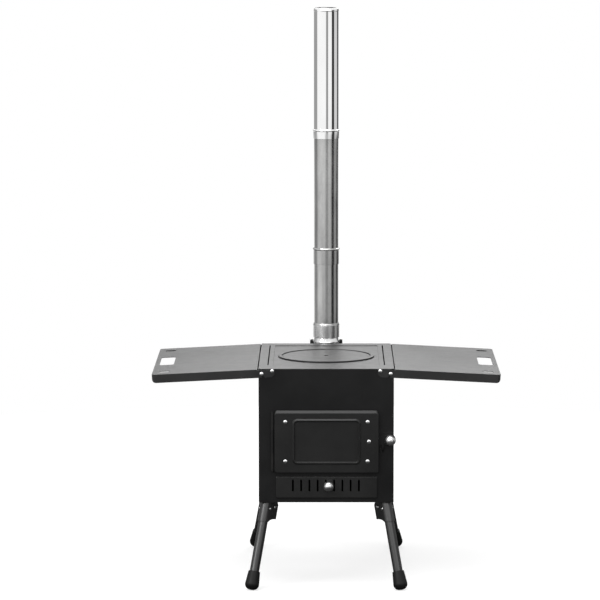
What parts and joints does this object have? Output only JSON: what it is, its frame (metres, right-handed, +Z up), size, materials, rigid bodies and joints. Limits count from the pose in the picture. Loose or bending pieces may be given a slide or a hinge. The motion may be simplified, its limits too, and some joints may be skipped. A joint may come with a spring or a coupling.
{
  "type": "wood stove",
  "caption": "Portable sheet steel tent wood stove on folding splayed legs, with fold-up side shelves, hinged door, ash drawer, cooking lid and sectional chimney.",
  "frame": {"origin": "on the ground under the centre of the outline", "axes": "+X to the right of someone facing the door, +Y away from them towards the chimney, +Z up"},
  "size_m": [0.8152, 0.5998, 1.3372],
  "materials": {
    "black_paint": "satin",
    "dark_steel": "matte",
    "pipe_steel": "satin",
    "bright_steel": "polished",
    "black_rubber": "matte"
  },
  "bodies": {
    "body": {"side_panel_right": "black_paint", "side_panel_left": "black_paint", "front_panel": "black_paint", "rear_panel": "black_paint", "floor_panel": "black_paint", "top_plate": "black_paint", "flue_box": "black_paint", "flue_flange": "bright_steel", "flue_collar": "pipe_steel", "flange_screw_left": "bright_steel", "flange_screw_right": "bright_steel", "grate": "dark_steel", "drawer_runner_left": "dark_steel", "drawer_runner_right": "dark_steel", "hinge_knuckle_lower": "black_paint", "hinge_knuckle_upper": "black_paint", "hinge_rod": "bright_steel", "latch_catch": "black_paint", "shelf_pivot_front_left": "bright_steel", "shelf_pivot_rear_left": "bright_steel", "shelf_stop_front_left": "bright_steel", "shelf_stop_rear_left": "bright_steel", "shelf_pivot_front_right": "bright_steel", "shelf_pivot_rear_right": "bright_steel", "shelf_stop_front_right": "bright_steel", "shelf_stop_rear_right": "bright_steel", "leg_front_left_lug": "dark_steel", "leg_front_right_lug": "dark_steel", "leg_rear_left_lug": "dark_steel", "leg_rear_right_lug": "dark_steel"},
    "door": {"door_skin": "black_paint", "door_liner": "dark_steel", "door_rivet_top_left": "bright_steel", "door_rivet_top_right": "bright_steel", "door_rivet_bottom_left": "bright_steel", "door_rivet_bottom_right": "bright_steel", "latch_rivet": "bright_steel"},
    "latch": {"latch_bar": "dark_steel", "latch_knob": "bright_steel"},
    "drawer": {"drawer_front": "black_paint", "ash_tray": "dark_steel", "drawer_knob": "bright_steel"},
    "lid": {"lid": "black_paint"},
    "lower_pipe": {"lower_pipe": "pipe_steel"},
    "middle_pipe": {"middle_pipe": "pipe_steel"},
    "top_pipe": {"top_pipe": "bright_steel"},
    "shelf_left": {"shelf_left": "black_paint"},
    "shelf_right": {"shelf_right": "black_paint"},
    "leg_front_left": {"leg_front_left_bracket": "black_paint", "leg_front_left_tube": "black_paint", "leg_front_left_foot_cap": "black_rubber"},
    "leg_front_right": {"leg_front_right_bracket": "black_paint", "leg_front_right_tube": "black_paint", "leg_front_right_foot_cap": "black_rubber"},
    "leg_rear_left": {"leg_rear_left_bracket": "black_paint", "leg_rear_left_tube": "black_paint", "leg_rear_left_foot_cap": "black_rubber"},
    "leg_rear_right": {"leg_rear_right_bracket": "black_paint", "leg_rear_right_tube": "black_paint", "leg_rear_right_foot_cap": "black_rubber"}
  },
  "joints": [
    {"name": "door_hinge", "type": "hinge", "parent": "body", "child": "door", "pos_m": [-0.12555, -0.24292, 0.3453], "axis": [0, 0, -1], "range_deg": [0, 140]},
    {"name": "latch_pivot", "type": "hinge", "parent": "door", "child": "latch", "pos_m": [0.0999, -0.24102, 0.3453], "axis": [0, -1, 0], "range_deg": [-10, 30]},
    {"name": "drawer_slide", "type": "slide", "parent": "body", "child": "drawer", "axis": [0, -1, 0], "range_m": [0, 0.34]},
    {"name": "lid_lift", "type": "slide", "parent": "body", "child": "lid", "axis": [0, 0, 1], "range_m": [0, 0.08]},
    {"name": "lower_pipe_lift", "type": "slide", "parent": "body", "child": "lower_pipe", "axis": [0, 0, 1], "range_m": [0, 0.04]},
    {"name": "middle_pipe_lift", "type": "slide", "parent": "lower_pipe", "child": "middle_pipe", "axis": [0, 0, 1], "range_m": [0, 0.05]},
    {"name": "top_pipe_lift", "type": "slide", "parent": "middle_pipe", "child": "top_pipe", "axis": [0, 0, 1], "range_m": [0, 0.04]},
    {"name": "shelf_right_fold", "type": "hinge", "parent": "body", "child": "shelf_right", "pos_m": [0.1262, -0.01362, 0.5104], "axis": [0, -1, 0], "range_deg": [0, 95]},
    {"name": "shelf_left_fold", "type": "hinge", "parent": "body", "child": "shelf_left", "pos_m": [-0.1262, -0.01362, 0.5104], "axis": [0, 1, 0], "range_deg": [0, 95]},
    {"name": "leg_front_left_fold", "type": "hinge", "parent": "body", "child": "leg_front_left", "pos_m": [-0.13176, -0.20439, 0.183], "axis": [0.8829, -0.4695, 0], "range_deg": [0, 111]},
    {"name": "leg_front_right_fold", "type": "hinge", "parent": "body", "child": "leg_front_right", "pos_m": [0.13176, -0.20439, 0.183], "axis": [0.8829, 0.4695, 0], "range_deg": [0, 111]},
    {"name": "leg_rear_left_fold", "type": "hinge", "parent": "body", "child": "leg_rear_left", "pos_m": [-0.13176, 0.17715, 0.183], "axis": [-0.8829, -0.4695, 0], "range_deg": [0, 111]},
    {"name": "leg_rear_right_fold", "type": "hinge", "parent": "body", "child": "leg_rear_right", "pos_m": [0.13176, 0.17715, 0.183], "axis": [-0.8829, 0.4695, 0], "range_deg": [0, 111]}
  ]
}
